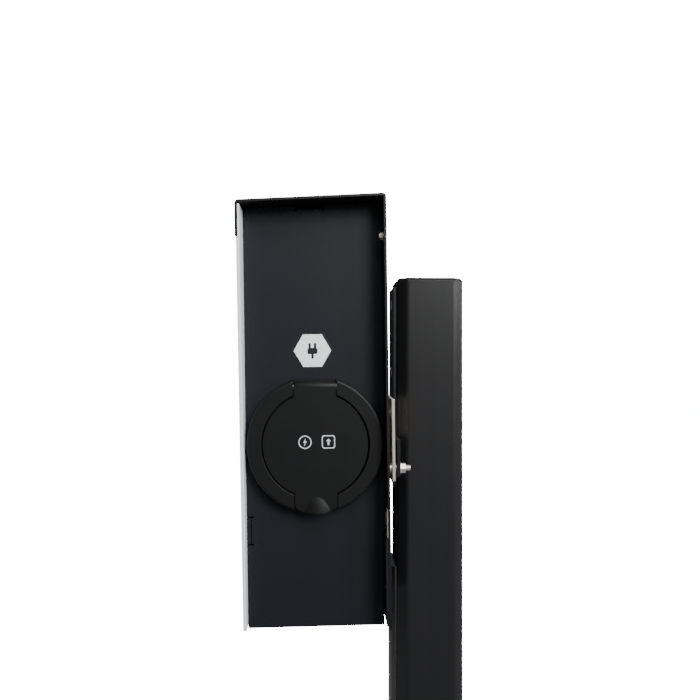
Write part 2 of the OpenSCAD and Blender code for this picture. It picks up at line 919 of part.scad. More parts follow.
// Conductors from the contactor down to the rear terminals of the socket
module socket_wires() {
    rear = -panel_y - cup_back + 8;
    color("saddlebrown")
    box_frame()
    for (i = [0:len(power_at) - 1]) {
        at = power_at[i];
        start = [socket_x + at[0], rear, socket_z + at[1]];
        end = [-40 - 5 * i, -30 + 12 * i, rail_z - module_h / 2];
        wire([start, start + [0, 26, 0], end - [0, 0, 50], end], 2.2);
    }
}

// ---------- label and socket ----------

module label_plate() {
    color("white")
    box_frame()
    translate([socket_x - 1.7, -panel_y, 216.6]) rotate([90, 0, 0])
        cylinder(h = 0.8, r = 15, $fn = 6);
}

module flange_gasket() {
    color([0.04, 0.04, 0.04])
    socket_frame()
    difference() {
        cylinder(h = gasket_t, r = flange_d / 2 - 1.2, $fn = 96);
        slab([-30, flange_flat - 1, -1], [30, 60, 2]);
        translate([0, 0, -1]) cylinder(h = 4, r = cup_r + 0.6, $fn = 96);
        for (a = [45:90:315])
            rotate(a) translate([panel_screw_r, 0, -1]) cylinder(h = 4, r = 2.1, $fn = 24);
    }
}

// Round flange: a base ring and two raised arms that leave room for the tabs of the lid
module socket_flange() {
    out = flange_d / 2;
    slot = tab_w / 2 + 0.55;
    color(black)
    socket_frame()
    difference() {
        rotate_extrude($fn = 120)
            polygon(concat(
                [[cup_r + 0.4, gasket_t], [out - 0.6, gasket_t], [out, gasket_t + 0.6]],
                arc([out - 2, flange_top - 2], 2, 0, 90, 6),
                arc([ring_in + 0.5, flange_top - 0.5], 0.5, 90, 180, 3),
                [[ring_in, flange_base], [cup_r + 0.4, flange_base]]
            ));
        slab([-30, flange_flat, 0], [30, 60, flange_top + 1]);
        slab([-slot, 20, flange_base], [slot, out + 1, flange_top + 1]);
        slab([-slot, -out - 1, flange_base], [slot, -20, flange_top + 1]);
        along_x(-slot, hinge_y, hinge_z, 2 * slot, barrel_r + 0.4);
        slab([-slot, hinge_y, hinge_z - barrel_r - 0.4], [slot, out + 1, flange_top]);
        along_x(-24, hinge_y, hinge_z, 49, pin_r, 32);
        for (a = [45:90:315])
            rotate(a) translate([panel_screw_r, 0, gasket_t - 1]) cylinder(h = 8, r = 1.7, $fn = 24);
    }
}

module flange_screws() {
    color("silver")
    socket_frame()
    for (a = [45:90:315])
        rotate(a) translate([panel_screw_r, 0, 0]) {
            translate([0, 0, -panel_t - 2.6]) cylinder(h = 2.6, r = 3.6, $fn = 32);
            translate([0, 0, -panel_t - eps]) cylinder(h = panel_t + gasket_t + 6.4, r = 1.7, $fn = 24);
        }
}

// Outline of the lid: a disc with a hinge tab above and a rounded finger tab below
module lid_outline() {
    circle(lid_d / 2, $fn = 120);
    translate([-tab_w / 2, 0]) square([tab_w, hinge_y]);
    intersection() {
        circle(flange_d / 2 - 0.6, $fn = 120);
        union() {
            corner = 4.5;
            translate([-tab_w / 2, -46.5]) square([tab_w, 46.5]);
            translate([-tab_w / 2 + corner, -60]) square([tab_w - 2 * corner, 50]);
            for (s = [-1, 1])
                translate([s * (tab_w / 2 - corner), -46.5]) circle(corner);
        }
    }
}

module socket_lid() {
    grip_r = 20;
    grip_tilt = 15;
    coil_half = 8.6;
    color(black)
    socket_frame()
    difference() {
        union() {
            translate([0, 0, lid_back]) linear_extrude(flange_top - lid_back) lid_outline();
            along_x(-tab_w / 2, hinge_y, hinge_z, tab_w, barrel_r);
            intersection() {
                translate([0, 0, lid_back + 1]) linear_extrude(flange_top - lid_back + 4) lid_outline();
                translate([1, -41, flange_top]) rotate([90 - grip_tilt, 0, 0])
                    translate([0, -grip_r, -4]) cylinder(h = 22, r = grip_r, $fn = 128);
            }
            translate([0, 0, lid_back - 2.4])
                difference() {
                    cylinder(h = 2.5, r = 22.4, $fn = 96);
                    translate([0, 0, -1]) cylinder(h = 3.4, r = 20.4, $fn = 96);
                }
        }
        along_x(-30, hinge_y, hinge_z, 60, pin_r + 0.05, 32);
        along_x(-coil_half, hinge_y, hinge_z, 2 * coil_half, 3.05);
        slab([-coil_half, hinge_y - 3.05, hinge_z - barrel_r - 1], [coil_half, hinge_y + 3.05, hinge_z]);
        slab([-coil_half, hinge_y, hinge_z - barrel_r - 1], [coil_half, hinge_y + 4, hinge_z - 0.8]);
        slab([-2.2, 24, lid_back - 0.5], [2.2, hinge_y, lid_back + 0.9]);
    }
}

module lid_pin() {
    color("silver")
    socket_frame()
    along_x(-23.5, hinge_y, hinge_z, 48, pin_r, 32);
}

// Torsion spring round the pin: coils side by side, and the hooked end that is held in the pin
module lid_spring() {
    color("gray")
    socket_frame()
    translate([0, hinge_y, hinge_z]) {
        for (i = [-4:4])
            translate([i * coil_pitch, 0, 0]) rotate([0, 90, 0])
                rotate_extrude() translate([coil_r, 0]) circle(wire_r, $fn = 16);
        for (i = [-4:3])
            along_x(i * coil_pitch, 0, -coil_r, coil_pitch, wire_r * 0.8, 16);
        translate([4 * coil_pitch, 0, -coil_r]) cylinder(h = coil_r - pin_r + 0.1, r = wire_r, $fn = 16);
    }
}

// The other leg of the spring, which lies in a groove of the lid and moves with it
module spring_arm() {
    color("gray")
    socket_frame()
    translate([0, hinge_y - coil_r - wire_r - 0.15, lid_back + 0.45])
        rotate([90, 0, 0]) cylinder(h = 15, r = wire_r, $fn = 16);
}

module lid_seal() {
    color([0.03, 0.03, 0.03])
    socket_frame()
    translate([0, 0, flange_base + 0.1])
    difference() {
        cylinder(h = lid_back - flange_base - 0.1, r = 38, $fn = 96);
        translate([0, 0, -1]) cylinder(h = 4, r = 35, $fn = 96);
    }
}

// Places of the contacts on the face of the insert: four power, then two pilot
power_at = [for (a = [0, 180, 236, 304]) 14 * [cos(a), sin(a)]];
pilot_at = [for (s = [-1, 1]) [s * 7, 10.5]];

module d_shape(r, flat) {
    intersection() {
        circle(r, $fn = 96);
        translate([-r, -r]) square([2 * r, r + flat]);
    }
}

// Tube of the socket that takes the shroud of the plug, with a flat on top
module socket_body() {
    mouth = flange_base - 0.2;
    color([0.12, 0.12, 0.13])
    socket_frame()
    difference() {
        translate([0, 0, cavity_floor]) cylinder(h = mouth - cavity_floor, r = cup_r, $fn = 96);
        translate([0, 0, cavity_floor - 1])
            linear_extrude(mouth - cavity_floor + 2) d_shape(cavity_r, cavity_flat);
        translate([0, cavity_flat - 1, lock_z]) rotate([-90, 0, 0])
            cylinder(h = 40, r = lock_r + 0.06, $fn = 32);
    }
}

// Ring that draws the tube up against the back of the side panel
module socket_clamp_ring() {
    color([0.1, 0.1, 0.11])
    socket_frame()
    translate([0, 0, -panel_t - 4])
        difference() {
            cylinder(h = 4, r = clamp_ring_r, $fn = 96);
            translate([0, 0, -1]) cylinder(h = 6, r = cup_r + 0.02, $fn = 96);
        }
}

// Rear shell of the socket, which closes the floor of the tube round the carrier
module terminal_cover() {
    color([0.12, 0.12, 0.13])
    socket_frame()
    translate([0, 0, cup_back])
        difference() {
            cylinder(h = cavity_floor - cup_back, r = cup_r, $fn = 96);
            translate([0, 0, -1]) cylinder(h = cavity_floor - cup_back + 2, r = carrier_r, $fn = 96);
        }
}

// Carrier of the contacts: an island with a flat on top, on a round root
module contact_carrier() {
    color([0.13, 0.13, 0.14])
    socket_frame()
    difference() {
        union() {
            translate([0, 0, cavity_floor]) linear_extrude(island_face - cavity_floor) d_shape(island_r, island_flat);
            translate([0, 0, cup_back]) cylinder(h = cavity_floor - cup_back + eps, r = carrier_r, $fn = 96);
        }
        for (p = concat(power_at, [[0, 0]]))
            translate([p[0], p[1], cup_back - 1]) cylinder(h = 80, r = power_r, $fn = 32);
        for (p = pilot_at)
            translate([p[0], p[1], cup_back - 1]) cylinder(h = 80, r = pilot_r, $fn = 32);
    }
}

module contact_tube(p, out, bore) {
    translate([p[0], p[1], cup_back - 8])
        difference() {
            cylinder(h = island_face - cup_back + 6, r = out, $fn = 32);
            translate([0, 0, 12]) cylinder(h = 60, r = bore, $fn = 32);
        }
}

module socket_contacts() {
    color("goldenrod")
    socket_frame() {
        for (p = concat(power_at, [[0, 0]]))
            contact_tube(p, power_r, 3);
        for (p = pilot_at)
            contact_tube(p, pilot_r, 1.5);
    }
}

// Housing of the lock motor, on top of the socket body
module lock_housing() {
    color("dimgray")
    socket_frame()
    difference() {
        slab([-15, cup_r - 2, -34], [15, 62, -7]);
        translate([0, 0, cup_back]) cylinder(h = 80, r = cup_r + 0.02, $fn = 96);
        translate([0, 20, lock_z]) rotate([-90, 0, 0]) cylinder(h = 36, r = lock_r + 0.06, $fn = 32);
    }
}

module lock_pin() {
    color("silver")
    socket_frame()
    translate([0, cavity_flat + 0.3, lock_z]) rotate([-90, 0, 0]) cylinder(h = 24, r = lock_r, $fn = 32);
}

base_plate();
base_spigot();
spigot_screws();
post_profile();
channel_cover();
post_cap();
cap_screws();
post_bracket();
clamp_bar();
clamp_screws();
hanger_plate();
hanger_studs();
hanger_spacers();
hanger_nuts();
rest_buffers();
hood_shell();
hood_screws();
front_sheet();
front_fascia();
status_lens();
status_board();
reader_board();
socket_side_panel();
plain_side_panel();
panel_clips();
bottom_tray();
tray_screws();
cable_grommet();
mounting_plate();
plate_standoffs();
din_rails();
breaker_body();
breaker_lever();
test_button();
contactor();
energy_meter();
power_supply();
supply_terminals();
earth_terminal();
control_board();
board_standoffs();
socket_wires();
label_plate();
flange_gasket();
socket_flange();
flange_screws();
socket_lid();
lid_pin();
lid_spring();
spring_arm();
lid_seal();
socket_body();
socket_clamp_ring();
terminal_cover();
contact_carrier();
socket_contacts();
lock_housing();
lock_pin();
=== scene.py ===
"""Looks for the EV charging post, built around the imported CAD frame."""
import json
import math

import bmesh
import bpy
from mathutils import Matrix, Vector

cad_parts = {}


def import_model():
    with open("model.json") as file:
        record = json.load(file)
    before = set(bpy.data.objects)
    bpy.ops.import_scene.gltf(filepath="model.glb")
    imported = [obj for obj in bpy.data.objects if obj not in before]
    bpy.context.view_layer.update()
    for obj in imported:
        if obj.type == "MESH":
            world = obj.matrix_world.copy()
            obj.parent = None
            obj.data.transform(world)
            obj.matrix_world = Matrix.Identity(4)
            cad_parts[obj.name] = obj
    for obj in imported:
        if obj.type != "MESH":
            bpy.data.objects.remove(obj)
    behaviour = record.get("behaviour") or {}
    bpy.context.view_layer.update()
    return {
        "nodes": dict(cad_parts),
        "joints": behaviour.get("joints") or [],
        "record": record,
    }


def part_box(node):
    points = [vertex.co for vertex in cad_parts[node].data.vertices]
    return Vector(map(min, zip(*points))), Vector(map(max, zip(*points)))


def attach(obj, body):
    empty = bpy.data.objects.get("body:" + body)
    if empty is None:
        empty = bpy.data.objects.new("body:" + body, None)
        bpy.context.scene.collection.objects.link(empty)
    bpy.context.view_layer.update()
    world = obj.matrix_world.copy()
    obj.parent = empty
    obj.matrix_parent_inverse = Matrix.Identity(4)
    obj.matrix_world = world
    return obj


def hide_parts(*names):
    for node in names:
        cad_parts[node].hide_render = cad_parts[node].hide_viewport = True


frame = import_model()
record = frame["record"]
nodes = frame["nodes"]
MM = 0.001


# ---------- directions and places, read from the record ----------

def named(rows, name):
    return next(row for row in rows if row["name"] == name)


HINGE = named(frame["joints"], "lid_hinge")
# The box leans: RIGHT runs along its depth towards the post, UP along its height
RIGHT = -Vector(HINGE["axis"]).normalized()
OUT = Vector((0.0, -1.0, 0.0))
UP = OUT.cross(RIGHT) if OUT.cross(RIGHT).z > 0 else RIGHT.cross(OUT)
# The socket's mount lies this far out of the side panel
MOUNT_PROUD = 4.8 * MM
SOCKET = Vector(named(record["mounts"], "charging_socket")["pos_m"]) - OUT * MOUNT_PROUD
# Heights over the panel face
FLANGE_TOP = 11 * MM
LID_BACK = 5.6 * MM
ISLAND_FACE = -5 * MM


def middle(node):
    low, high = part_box(node)
    return (low + high) / 2


def turned_place(at, across, up, out):
    """Matrix that lays x, y and z along three directions, from a point."""
    return Matrix.Translation(at) @ Matrix((across, up, out)).transposed().to_4x4()


def side_place(at):
    """Matrix of something on the socket side of the box: x right, y up, z out."""
    return turned_place(at, RIGHT, UP, OUT)


def socket_place(u, v, w):
    """The same at a point u right, v up and w out of the middle of the socket."""
    return side_place(SOCKET + RIGHT * u + UP * v + OUT * w)


def front_place(at):
    """Matrix of something on the white front: x towards the socket side, y up, z out."""
    return turned_place(at, OUT, UP, -RIGHT)


# ---------- materials ----------

def shader(name, colour, roughness, metallic=0.0, specular=0.5, coat=0.0):
    """A node material with even values on the sockets of its Principled shader."""
    material = bpy.data.materials.new(name)
    material.use_nodes = True
    bsdf = material.node_tree.nodes["Principled BSDF"]
    bsdf.inputs["Base Color"].default_value = (*colour, 1)
    bsdf.inputs["Roughness"].default_value = roughness
    bsdf.inputs["Metallic"].default_value = metallic
    bsdf.inputs["Specular IOR Level"].default_value = specular
    bsdf.inputs["Coat Weight"].default_value = coat
    bsdf.inputs["Coat Roughness"].default_value = 0.25
    material.diffuse_color = (*colour, 1)
    return material


def noise(material, scale, stretch=(1, 1, 1), detail=3.0):
    """Noise in object space, with features of about 1 / scale metres."""
    tree = material.node_tree
    coords = tree.nodes.new("ShaderNodeTexCoord")
    mapping = tree.nodes.new("ShaderNodeMapping")
    mapping.inputs["Scale"].default_value = stretch
    texture = tree.nodes.new("ShaderNodeTexNoise")
    texture.inputs["Scale"].default_value = scale
    texture.inputs["Detail"].default_value = detail
    texture.inputs["Roughness"].default_value = 0.55
    tree.links.new(coords.outputs["Object"], mapping.inputs["Vector"])
    tree.links.new(mapping.outputs["Vector"], texture.inputs["Vector"])
    return texture.outputs["Fac"]


def ramp(material, factor, stops):
    """Colour that runs through stops of (position, colour) with the factor."""
    tree = material.node_tree
    node = tree.nodes.new("ShaderNodeValToRGB")
    elements = node.color_ramp.elements
    while len(elements) < len(stops):
        elements.new(0.5)
    for element, (position, colour) in zip(elements, stops):
        element.position = position
        element.color = (*colour, 1)
    tree.links.new(factor, node.inputs["Fac"])
    return node.outputs["Color"]


def tint(material, factor, dark, light):
    """Varies the base colour between two colours."""
    bsdf = material.node_tree.nodes["Principled BSDF"]
    colour = ramp(material, factor, [(0.3, dark), (0.7, light)])
    material.node_tree.links.new(colour, bsdf.inputs["Base Color"])


def vary_roughness(material, factor, low, high):
    """Varies the roughness between two values."""
    tree = material.node_tree
    node = tree.nodes.new("ShaderNodeMapRange")
    node.inputs["To Min"].default_value = low
    node.inputs["To Max"].default_value = high
    tree.links.new(factor, node.inputs["Value"])
    tree.links.new(node.outputs["Result"], tree.nodes["Principled BSDF"].inputs["Roughness"])


def bump(material, factor, depth, strength=1.0):
    """Bump of about depth metres; a second call adds to the first."""
    tree = material.node_tree
    node = tree.nodes.new("ShaderNodeBump")
    node.inputs["Strength"].default_value = strength
    node.inputs["Distance"].default_value = depth
    tree.links.new(factor, node.inputs["Height"])
    normal = tree.nodes["Principled BSDF"].inputs["Normal"]
    if normal.is_linked:
        tree.links.new(normal.links[0].from_socket, node.inputs["Normal"])
    tree.links.new(node.outputs["Normal"], normal)


def mottle(material, factor, colour, spread):
    """Varies the base colour by a share of itself to both sides."""
    dark, light = [tuple(c * share for c in colour) for share in (1 - spread, 1 + spread)]
    tint(material, factor, dark, light)


def powder(name, colour, roughness, grain, depth, spread=0.1, specular=0.5):
    """Powder coat: fine orange peel, a fine speckle and a slow drift of gloss."""
    material = shader(name, colour, roughness, specular=specular)
    mottle(material, noise(material, grain * 1.3, detail=2), colour, spread)
    vary_roughness(material, noise(material, 22), roughness - 0.04, roughness + 0.05)
    bump(material, noise(material, grain, detail=2), depth)
    return material


def plastic(name, colour, roughness, grain, depth, spread=0.08, coat=0.0, specular=0.5):
    """Moulded plastic: spark-eroded grain over a very slow unevenness."""
    material = shader(name, colour, roughness, coat=coat, specular=specular)
    mottle(material, noise(material, grain * 0.9, detail=4), colour, spread)
    vary_roughness(material, noise(material, 60), roughness - 0.05, roughness + 0.05)
    bump(material, noise(material, grain, detail=4), depth)
    bump(material, noise(material, 40), 0.00004, 0.3)
    return material


def metal(name, colour, roughness, stretch, grain=260, spread=0.12, metallic=1.0, specular=0.5):
    """Drawn, brushed or plated metal: streaks along the axis that stretch keeps small."""
    material = shader(name, colour, roughness, metallic=metallic, specular=specular)
    mottle(material, noise(material, grain, stretch, 5), colour, spread)
    vary_roughness(material, noise(material, grain * 0.6, stretch), roughness - 0.07, roughness + 0.08)
    bump(material, noise(material, grain * 2, stretch, 4), 0.00002, 0.6)
    return material


def anodised(name, colour, roughness):
    """Extruded and anodised: die lines along the post, faint handling marks."""
    material = shader(name, colour, roughness, specular=0.36)
    mottle(material, noise(material, 420, (1, 1, 0.004), 4), colour, 0.05)
    vary_roughness(material, noise(material, 9), roughness - 0.03, roughness + 0.03)
    bump(material, noise(material, 900, (1, 1, 0.003), 3), 0.000004, 0.6)
    bump(material, noise(material, 1500, detail=2), 0.000006, 0.5)
    return material


def zinc_plate(name):
    """Bright zinc plating with a yellow bloom in cloudy patches."""
    material = shader(name, (0.7, 0.68, 0.6), 0.34, metallic=0.7)
    clouds = noise(material, 70, detail=5)
    tint(material, clouds, (0.62, 0.62, 0.58), (0.8, 0.76, 0.64))
    vary_roughness(material, noise(material, 300), 0.24, 0.44)
    bump(material, noise(material, 1400), 0.00001, 0.5)
    return material


def circuit_board(name):
    """Solder mask with traces under it and pale pads."""
    pad = (0.55, 0.5, 0.32)
    mask = (0.012, 0.09, 0.04)
    trace = (0.02, 0.15, 0.06)
    shade = (0.01, 0.07, 0.03)
    material = shader(name, mask, 0.34, coat=0.3)
    tree = material.node_tree
    coords = tree.nodes.new("ShaderNodeTexCoord")
    cells = tree.nodes.new("ShaderNodeTexVoronoi")
    cells.distance = "MANHATTAN"
    cells.inputs["Scale"].default_value = 260
    tree.links.new(coords.outputs["Object"], cells.inputs["Vector"])
    stops = [(0.10, pad), (0.16, mask), (0.5, trace), (0.62, shade)]
    pattern = ramp(material, cells.outputs["Distance"], stops)
    tree.links.new(pattern, tree.nodes["Principled BSDF"].inputs["Base Color"])
    bump(material, cells.outputs["Distance"], 0.00005, 0.4)
    return material


def lens_plastic(name):
    """Frosted light guide."""
    material = shader(name, (0.55, 0.66, 0.64), 0.3, coat=0.4)
    tint(material, noise(material, 90), (0.5, 0.62, 0.6), (0.62, 0.72, 0.7))
    bsdf = material.node_tree.nodes["Principled BSDF"]
    bsdf.inputs["Transmission Weight"].default_value = 0.25
    bsdf.inputs["Subsurface Weight"].default_value = 0.2
    bump(material, noise(material, 2200), 0.00001, 0.5)
    return material


MATERIALS = {
    "black_anodised": anodised("black_anodised", (0.0105, 0.0105, 0.0115), 0.34),
    "black_powder": powder("black_powder", (0.0045, 0.0050, 0.0058), 0.46, 1500, 0.00003, specular=0.3),
    "graphite_powder": powder(
        "graphite_powder", (0.0092, 0.0097, 0.0134), 0.5, 1300, 0.00004, 0.16, specular=0.2),
    "white_powder": powder("white_powder", (0.90, 0.915, 0.94), 0.38, 1200, 0.00002, 0.012),
    "white_fascia": powder("white_fascia", (0.84, 0.86, 0.88), 0.26, 900, 0.000008, 0.008),
    "grey_anodised": metal(
        "grey_anodised", (0.03, 0.03, 0.031), 0.5, (1, 1, 0.01), metallic=0.0, specular=0.12),
    "zinc": zinc_plate("zinc"),
    "stainless": metal("stainless", (0.56, 0.56, 0.55), 0.28, (1, 1, 1), 500, 0.08),
    "spring_steel": metal("spring_steel", (0.3, 0.3, 0.31), 0.32, (1, 1, 1), 700),
    "black_rubber": plastic("black_rubber", (0.012, 0.012, 0.0125), 0.72, 1200, 0.00003),
    "socket_plastic": plastic(
        "socket_plastic", (0.0043, 0.0044, 0.0048), 0.5, 1500, 0.00003, 0.14, specular=0.24),
    "insert_plastic": plastic("insert_plastic", (0.02, 0.02, 0.0215), 0.4, 1800, 0.00002),
    "label_film": powder("label_film", (0.93, 0.95, 0.97), 0.3, 800, 0.000004, 0.01),
    "clear_lens": lens_plastic("clear_lens"),
    "device_grey": plastic("device_grey", (0.6, 0.61, 0.6), 0.45, 1200, 0.00003, 0.03),
    "device_dark": plastic("device_dark", (0.05, 0.053, 0.057), 0.48, 1200, 0.00003),
    "lever_blue": plastic("lever_blue", (0.02, 0.06, 0.24), 0.35, 1300, 0.00002, coat=0.3),
    "button_yellow": plastic("button_yellow", (0.72, 0.46, 0.03), 0.35, 1300, 0.00002, 0.05, coat=0.3),
    "board": circuit_board("board"),
    "brass": metal("brass", (0.62, 0.46, 0.2), 0.26, (1, 0.1, 1), 600, 0.1),
    "wire": plastic("wire", (0.11, 0.045, 0.02), 0.45, 900, 0.00002, 0.1),
    "terminal_grey": plastic("terminal_grey", (0.2, 0.225, 0.25), 0.5, 1200, 0.00003),
    "nylon": plastic("nylon", (0.7, 0.69, 0.62), 0.45, 1200, 0.00002, 0.03),
}
MARK_INK = powder("mark_ink", (0.62, 0.64, 0.67), 0.5, 1500, 0.000004, 0.05)
LABEL_INK = powder("label_ink", (0.006, 0.007, 0.009), 0.4, 1500, 0.000004, 0.1)
# Painted shade: a dark colour for the edge of the clear film round the label, which is itself clear
FILM_RIM_SHADE = powder("film_rim_shade", (0.03, 0.032, 0.038), 0.2, 800, 0.000004, 0.1)

for row in record["subparts"]:
    slots = nodes[row["node"]].data.materials
    slots.clear()
    slots.append(MATERIALS[row["material_slot"]])


# ---------- helpers for shapes ----------

def soften(node, width):
    """Rounds the sharp edges of a CAD node with modifiers; its mesh stays as it is."""
    piece = nodes[node]
    weld = piece.modifiers.new("weld", "WELD")
    weld.merge_threshold = 1e-6
    bevel = piece.modifiers.new("edges", "BEVEL")
    bevel.width = width
    bevel.segments = 2
    bevel.limit_method = "ANGLE"
    bevel.angle_limit = math.radians(35)
    bevel.harden_normals = False
    bevel.use_clamp_overlap = True
    bevel.miter_outer = "MITER_ARC"


def keep_piece(name, mesh, slot, body, material=None):
    """A mesh as a piece of a body, in its slot's material or in one of its own."""
    piece = bpy.data.objects.new(name, mesh)
    bpy.context.scene.collection.objects.link(piece)
    piece.data.materials.clear()
    piece.data.materials.append(material or MATERIALS[slot])
    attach(piece, body)
    return piece


def drawing(name, loops, place, slot, body, material):
    """A printed mark: closed outlines in metres, where an inner one is a hole."""
    curve = bpy.data.curves.new(name + "_outline", "CURVE")
    curve.dimensions = "2D"
    curve.fill_mode = "BOTH"
    curve.extrude = INK / 2
    for loop in loops:
        spline = curve.splines.new("POLY")
        spline.points.add(len(loop) - 1)
        for point, (x, y) in zip(spline.points, loop):
            point.co = (x, y, 0, 1)
        spline.use_cyclic_u = True
    holder = bpy.data.objects.new(name + "_outline", curve)
    bpy.context.scene.collection.objects.link(holder)
    bpy.context.view_layer.update()
    evaluated = holder.evaluated_get(bpy.context.evaluated_depsgraph_get())
    mesh = bpy.data.meshes.new_from_object(evaluated)
    bpy.data.objects.remove(holder)
    mesh.transform(place @ Matrix.Translation((0, 0, INK / 2)))
    work = bmesh.new()
    work.from_mesh(mesh)
    bmesh.ops.remove_doubles(work, verts=work.verts, dist=1e-7)
    bmesh.ops.recalc_face_normals(work, faces=work.faces)
    work.to_mesh(mesh)
    work.free()
    keep_piece(name, mesh, slot, body, material)


def circle(radius, centre=(0, 0), sides=48, start=0.0, end=math.tau):
    """Points of a circle, or of an arc with both its ends."""
    whole = end - start >= math.tau - 1e-6
    step = (end - start) / sides
    angles = [start + step * i for i in range(sides if whole else sides + 1)]
    return [(centre[0] + radius * math.cos(a), centre[1] + radius * math.sin(a)) for a in angles]


def arc_band(inner, outer, start, end, centre):
    """Outline of a stretch of a ring."""
    sides = 20
    far = circle(outer, centre, sides, start, end)
    near = circle(inner, centre, sides, start, end)
    return far + near[::-1]


def rounded_rectangle(width, height, radius, centre=(0, 0), sides=6):
    """Points of a rectangle with round corners."""
    points = []
    for i, (sx, sy) in enumerate(((1, 1), (-1, 1), (-1, -1), (1, -1))):
        corner = (centre[0] + sx * (width / 2 - radius), centre[1] + sy * (height / 2 - radius))
        points += circle(radius, corner, sides, i * math.pi / 2, (i + 1) * math.pi / 2)
    return points


def join_rings(work, rings, sides):
    """Faces between rings of points one after another; a ring may be a single point."""
    for low, high in zip(rings, rings[1:]):
        for i in range(sides):
            j = (i + 1) % sides
            quad = [low[i % len(low)], low[j % len(low)], high[j % len(high)], high[i % len(high)]]
            face = list(dict.fromkeys(quad))
            if len(face) > 2:
                work.faces.new(face)


def turned_ring(work, place, radius, height, sides):
    """One ring of a turned solid; on the axis it is a single point."""
    around = circle(radius, sides=sides) if radius > 0 else [(0, 0)]
    return [work.verts.new(place @ Vector((x, y, height))) for x, y in around]


def lathe(work, profile, place, sides):
    """Adds a turned ring to a bmesh; profile is a closed run of (radius, height)."""
    rings = [turned_ring(work, place, radius, height, sides) for radius, height in profile]
    join_rings(work, rings, sides)


def finish_mesh(name, work):
    """Turns a bmesh into a mesh that is smooth except at edges of more than 40 degrees."""
    bmesh.ops.recalc_face_normals(work, faces=work.faces)
    mesh = bpy.data.meshes.new(name)
    work.to_mesh(mesh)
    work.free()
    mesh.shade_smooth()
    mesh.set_sharp_from_angle(angle=math.radians(40))
    return mesh


# ---------- printed marks: plain pictograms in place of the real marks ----------

INK = 0.06 * MM
PLUG_MARK = 11.5 * MM
# The clear film's edge is drawn as a thin dark rim just outside the label, in shares of the label's size;
# the rim's dark colour is painted shade, as the film itself is clear
FILM_INNER = 1.005
FILM_OUTER = 1.075
# Lid marks: their places from the middle of the socket, and the width of their lines
LEFT_MARK = -8.2 * MM
RIGHT_MARK = 10.2 * MM
MARK_UP = 2.4 * MM
MARK_OUT = FLANGE_TOP + 0.01 * MM
MARK_LINE = 0.8 * MM
RING_R = 5.2 * MM
FRAME = 10.4 * MM
# Reader zone: a card with its line, and the waves over it
CARD = (34 * MM, 22 * MM)
CARD_LINE = 1.2 * MM
CARD_AT = (0, -9 * MM)
WAVES = (6 * MM, 10 * MM, 14 * MM)
WAVE_AT = (0, 4 * MM)
WAVE_LINE = 1.3 * MM
READER_PROUD = 0.02 * MM


def plug_pictogram(size):
    """A plug seen from the side: a rounded body, two prongs and a short tail."""
    body = rounded_rectangle(0.7 * size, 0.44 * size, 0.13 * size, (0, -0.02 * size))
    prongs = [rounded_rectangle(0.16 * size, 0.34 * size, 0.04 * size, (s * 0.19 * size, 0.36 * size))
              for s in (-1, 1)]
    tail = rounded_rectangle(0.17 * size, 0.34 * size, 0.05 * size, (0, -0.4 * size))
    return [body, *prongs, tail]


def bolt(size):
    """A lightning bolt as high as size."""
    return [(x * size, y * size) for x, y in (
        (0.10, 0.5), (-0.24, -0.06), (-0.02, -0.06), (-0.12, -0.5), (0.24, 0.10), (0.02, 0.10))]


def lift_arrow(size):
    """An upward arrow, in a square of size."""
    return [(x * size, y * size) for x, y in (
        (0, 0.36), (-0.26, 0.06), (-0.09, 0.06), (-0.09, -0.34), (0.09, -0.34), (0.09, 0.06), (0.26, 0.06))]


def label_marks():
    """The plug on the hexagonal label, and the edge of the clear film under the label as a dark rim of
    painted shade.
    """
    low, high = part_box("label_plate")
    centre = middle("label_plate")
    face = Vector((centre.x, low.y, centre.z))
    panel_face = Vector((centre.x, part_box("socket_side_panel")[0].y, centre.z))
    corner_r = (high.x - low.x) / 2
    rim = [circle(corner_r * share, sides=6) for share in (FILM_OUTER, FILM_INNER)]
    drawing("label_film_rim_shade", rim, side_place(panel_face), "label_film", "post", FILM_RIM_SHADE)
    for i, part in enumerate(plug_pictogram(PLUG_MARK)):
        drawing(f"label_plug_{i}", [part], side_place(face), "label_film", "post", LABEL_INK)


def lid_marks():
    """A bolt in a ring, and an upward arrow in a frame."""
    left = socket_place(LEFT_MARK, MARK_UP, MARK_OUT)
    right = socket_place(RIGHT_MARK, MARK_UP, MARK_OUT)
    ring = [circle(RING_R), circle(RING_R - MARK_LINE)]
    opening = FRAME - 2 * MARK_LINE
    frame_mark = [rounded_rectangle(FRAME, FRAME, 2 * MM), rounded_rectangle(opening, opening, 1.3 * MM)]
    for name, loops, place in (
            ("lid_ring_mark", ring, left), ("lid_bolt_mark", [bolt(6.4 * MM)], left),
            ("lid_frame_mark", frame_mark, right), ("lid_arrow_mark", [lift_arrow(7.4 * MM)], right)):
        drawing(name, loops, place, "socket_plastic", "lid", MARK_INK)


def reader_marks():
    """A card outline with three waves over it, on the front over the reader."""
    low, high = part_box("front_fascia")
    top = Vector((low.x, 0.0, high.z))
    face = top + UP * ((middle("reader_board").z - top.z) / UP.z) - RIGHT * READER_PROUD
    place = front_place(face)
    card = [rounded_rectangle(*CARD, 3 * MM, CARD_AT),
            rounded_rectangle(*(side - 2 * CARD_LINE for side in CARD), 2.2 * MM, CARD_AT)]
    drawing("reader_card_mark", card, place, "white_fascia", "post", LABEL_INK)
    for i, radius in enumerate(WAVES):
        band = arc_band(radius, radius + WAVE_LINE, math.radians(45), math.radians(135), WAVE_AT)
        drawing(f"reader_wave_{i}", [band], place, "white_fascia", "post", LABEL_INK)


label_marks()
lid_marks()
reader_marks()


# ---------- screws with their recesses, in place of the plain CAD ones ----------

